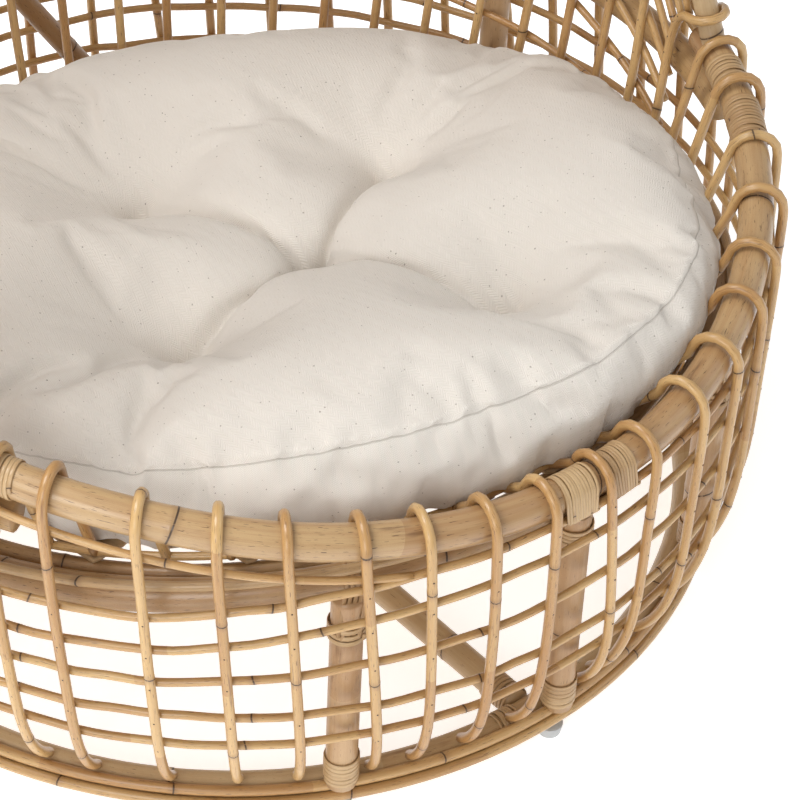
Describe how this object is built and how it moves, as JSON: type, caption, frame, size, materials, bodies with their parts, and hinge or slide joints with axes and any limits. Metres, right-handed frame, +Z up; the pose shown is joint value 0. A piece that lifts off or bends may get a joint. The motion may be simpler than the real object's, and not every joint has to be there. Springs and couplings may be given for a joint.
{
  "type": "rattan egg chair",
  "caption": "Floor-standing garden egg chair: a round basket of looped canes with a hood, on a round base with glides, and a loose round seat cushion.",
  "frame": {"origin": "on the floor under the middle of the chair", "axes": "+Z up, front of the chair towards -Y, sitter's left towards +X"},
  "size_m": [0.8976, 0.8982, 1.2552],
  "materials": {
    "pole": "satin",
    "cane": "satin",
    "trim": "satin",
    "peel": "satin",
    "slat": "matte",
    "fabric": "matte",
    "plastic": "matte"
  },
  "bodies": {
    "frame": {"base_pole": "pole", "base_trim_lower": "trim", "base_trim_upper": "trim", "base_stretcher": "pole", "post_front": "pole", "glide_front": "plastic", "post_front_right": "pole", "glide_front_right": "plastic", "post_front_left": "pole", "glide_front_left": "plastic", "post_side_right": "pole", "glide_side_right": "plastic", "post_side_left": "pole", "glide_side_left": "plastic", "post_rear": "pole", "glide_rear": "plastic", "brace_rear_right": "pole", "brace_rear_left": "pole", "seat_ring": "pole", "deck_ring": "pole", "deck_slats": "slat", "rim_front": "pole", "belt_pole": "pole", "hood_pole": "pole", "binding_front": "peel", "binding_joint_right": "peel", "binding_joint_left": "peel", "binding_foot_front": "peel", "binding_foot_front_right": "peel", "binding_foot_front_left": "peel", "binding_foot_side_right": "peel", "binding_foot_side_left": "peel", "binding_foot_rear": "peel", "outer_hoop_1": "cane", "outer_hoop_2": "cane", "outer_hoop_3": "cane", "outer_hoop_4": "cane", "outer_hoop_5": "cane", "hood_hoop_outer_1": "cane", "hood_hoop_outer_2": "cane", "hood_hoop_outer_3": "cane", "hood_hoop_outer_4": "cane", "hood_hoop_outer_5": "cane", "hood_hoop_inner_1": "cane", "hood_hoop_inner_2": "cane", "hood_hoop_inner_3": "cane", "hood_hoop_inner_4": "cane", "hood_hoop_inner_5": "cane", "hood_hoop_inner_6": "cane", "hood_hoop_inner_7": "cane", "hood_hoop_inner_8": "cane", "ribs_front": "cane", "ribs_front_right": "cane", "ribs_front_left": "cane", "ribs_side_right": "cane", "ribs_rear_right": "cane", "ribs_rear": "cane", "ribs_rear_left": "cane", "ribs_side_left": "cane"},
    "cushion": {"cushion": "fabric"}
  },
  "joints": [
    {"name": "cushion_lift", "type": "slide", "parent": "frame", "child": "cushion", "axis": [0, -0.5, 0.866], "range_m": [0, 0.95]}
  ]
}
